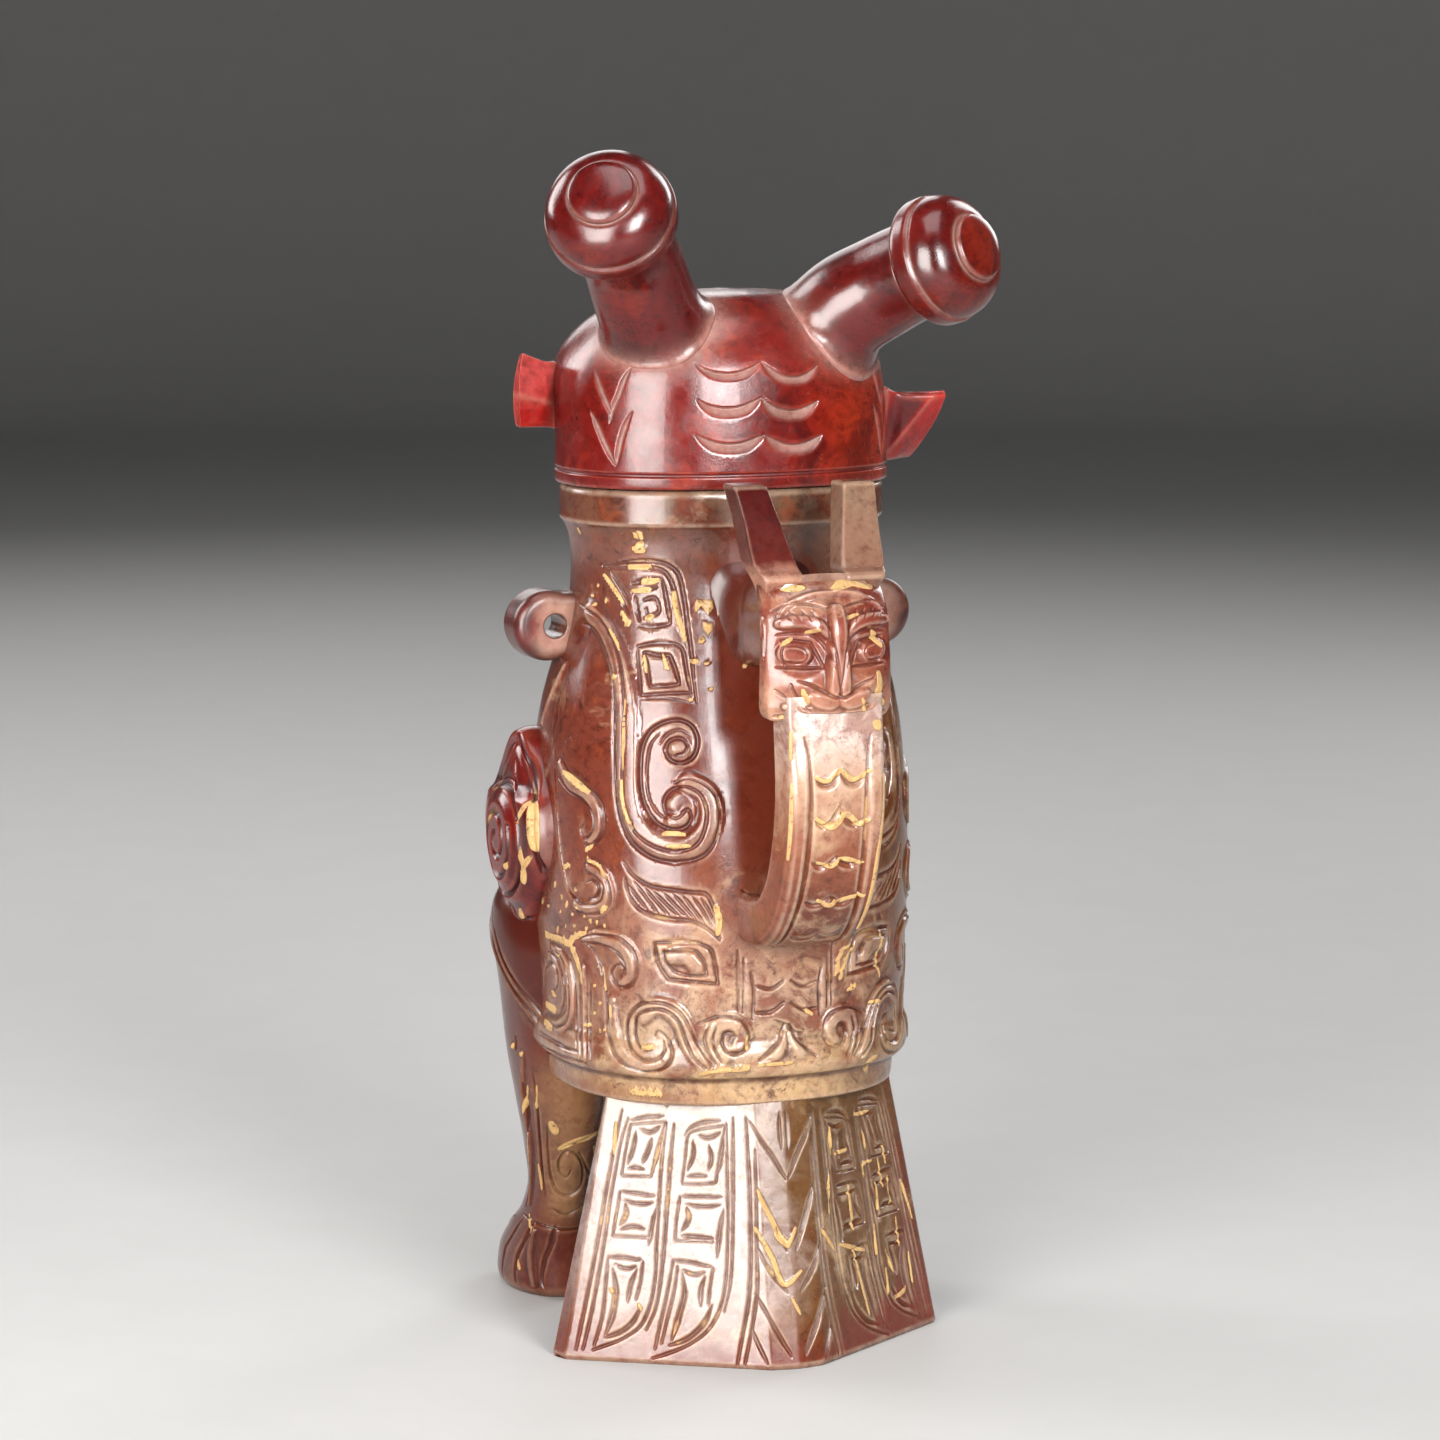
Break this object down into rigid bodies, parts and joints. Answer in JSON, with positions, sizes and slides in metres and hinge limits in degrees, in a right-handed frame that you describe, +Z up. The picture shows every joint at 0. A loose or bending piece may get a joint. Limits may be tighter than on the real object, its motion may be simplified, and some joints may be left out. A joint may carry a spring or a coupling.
{
  "type": "lidded jade vessel",
  "caption": "Carved jade vessel shaped as a standing owl, with a hollow body, legs, fan tail, ring lugs, beast-head strap handle and a lift-off lid with bottle horns.",
  "frame": {"origin": "on the ground under the middle of the outline", "axes": "+Z up; the bird faces -Y, its left is +X, the handle and tail are at +Y"},
  "size_m": [0.0986, 0.1278, 0.2499],
  "materials": {
    "lid_jade": "polished",
    "body_jade": "polished",
    "wing_jade": "polished",
    "tail_jade": "polished",
    "handle_jade": "polished"
  },
  "bodies": {
    "vessel": {"vessel_body": "body_jade", "tail": "tail_jade", "left_leg": "body_jade", "right_leg": "body_jade", "left_lug": "body_jade", "right_lug": "body_jade", "left_wing_coil": "wing_jade", "right_wing_coil": "wing_jade", "handle_strap": "handle_jade", "handle_beast_head": "handle_jade", "handle_left_horn": "handle_jade", "handle_right_horn": "handle_jade"},
    "lid": {"lid_dome": "lid_jade", "lid_locating_ring": "lid_jade", "lid_left_horn": "lid_jade", "lid_right_horn": "lid_jade", "lid_left_ear": "lid_jade", "lid_right_ear": "lid_jade", "lid_beak": "lid_jade", "lid_left_eye": "lid_jade", "lid_right_eye": "lid_jade"}
  },
  "joints": [
    {"name": "lid_lift", "type": "slide", "parent": "vessel", "child": "lid", "axis": [0, 0, 1], "range_m": [0, 0.08]}
  ]
}
